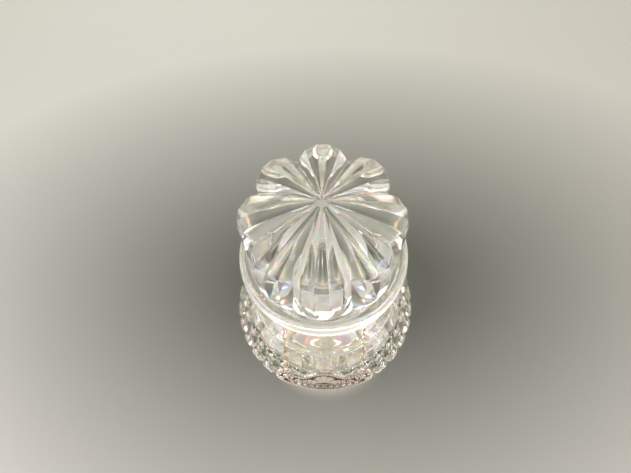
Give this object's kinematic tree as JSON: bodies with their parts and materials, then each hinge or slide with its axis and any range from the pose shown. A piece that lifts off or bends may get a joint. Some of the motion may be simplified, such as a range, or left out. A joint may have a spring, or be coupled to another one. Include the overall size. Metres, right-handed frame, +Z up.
{
  "type": "spirit decanter",
  "caption": "Cut-crystal spirit decanter with a lobed glass stopper and a silver bottle ticket hung round its neck on a fine chain.",
  "frame": {"origin": "centre of the foot, on the surface that the decanter stands on", "axes": "+Z up through the stopper; the ticket hangs on the -Y side; a stopper lobe points along each of X and Y"},
  "size_m": [0.0958, 0.0967, 0.2205],
  "materials": {
    "crystal": "clear polished cut crystal",
    "chain_silver": "warm toned fine silver wire",
    "ticket_silver": "cast silver, toned in its recesses"
  },
  "bodies": {
    "bottle": {"bottle": "crystal"},
    "stopper": {"stopper": "crystal"},
    "neck_chain": {"chain_loop": "chain_silver"},
    "chain_legs": {"chain_left_01": "chain_silver", "chain_left_02": "chain_silver", "chain_left_03": "chain_silver", "chain_left_04": "chain_silver", "chain_left_05": "chain_silver", "chain_left_06": "chain_silver", "chain_left_07": "chain_silver", "chain_left_08": "chain_silver", "chain_left_09": "chain_silver", "chain_left_10": "chain_silver", "chain_left_11": "chain_silver", "chain_left_12": "chain_silver", "chain_left_13": "chain_silver", "chain_left_14": "chain_silver", "chain_left_15": "chain_silver", "chain_left_16": "chain_silver", "chain_left_17": "chain_silver", "chain_left_18": "chain_silver", "chain_left_19": "chain_silver", "chain_left_20": "chain_silver", "chain_right_01": "chain_silver", "chain_right_02": "chain_silver", "chain_right_03": "chain_silver", "chain_right_04": "chain_silver", "chain_right_05": "chain_silver", "chain_right_06": "chain_silver", "chain_right_07": "chain_silver", "chain_right_08": "chain_silver", "chain_right_09": "chain_silver", "chain_right_10": "chain_silver", "chain_right_11": "chain_silver", "chain_right_12": "chain_silver", "chain_right_13": "chain_silver", "chain_right_14": "chain_silver", "chain_right_15": "chain_silver", "chain_right_16": "chain_silver", "chain_right_17": "chain_silver", "chain_right_18": "chain_silver", "chain_right_19": "chain_silver", "chain_right_20": "chain_silver", "ring_left": "chain_silver", "ring_right": "chain_silver"},
    "ticket": {"ticket": "ticket_silver"}
  },
  "joints": [
    {"name": "stopper_lift", "type": "slide", "parent": "bottle", "child": "stopper", "axis": [0, 0, 1], "range_m": [0, 0.06]},
    {"name": "chain_turn", "type": "hinge", "parent": "bottle", "child": "neck_chain", "pos_m": [0, 0, 0.1496], "axis": [0, 0, 1], "continuous": true},
    {"name": "legs_lift", "type": "hinge", "parent": "neck_chain", "child": "chain_legs", "pos_m": [0, -0.00026, 0.14958], "axis": [-1, 0, 0], "range_deg": [0, 25]},
    {"name": "ticket_swing", "type": "hinge", "parent": "chain_legs", "child": "ticket", "pos_m": [0, -0.03912, 0.12069], "axis": [-1, 0, 0], "range_deg": [0, 70]}
  ]
}
